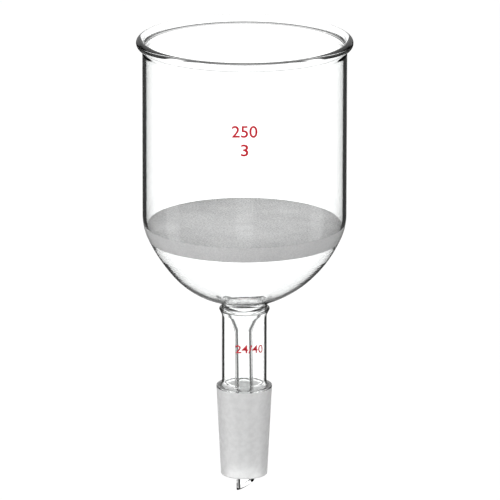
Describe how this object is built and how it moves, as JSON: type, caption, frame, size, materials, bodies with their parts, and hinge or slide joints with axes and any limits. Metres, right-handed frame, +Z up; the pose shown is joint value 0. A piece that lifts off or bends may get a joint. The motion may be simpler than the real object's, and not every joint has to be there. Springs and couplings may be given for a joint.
{
  "type": "fritted glass filter funnel",
  "caption": "Upright glass filter funnel with a sintered disc fused across the bowl, a ground cone joint and a bevelled drip tube, for vacuum filtering into a flask",
  "frame": {"origin": "on the funnel's axis at the large end of the ground cone, where it stops in its socket", "axes": "+Z runs up the axis to the open mouth of the bowl; the drip tube's bevelled tip is longest on the -X side"},
  "size_m": [0.0926, 0.0926, 0.2007],
  "materials": {
    "clear_glass": "polished",
    "sintered_glass": "matte"
  },
  "bodies": {
    "root": {"glass_body": "clear_glass", "fritted_disc": "sintered_glass"}
  },
  "joints": []
}
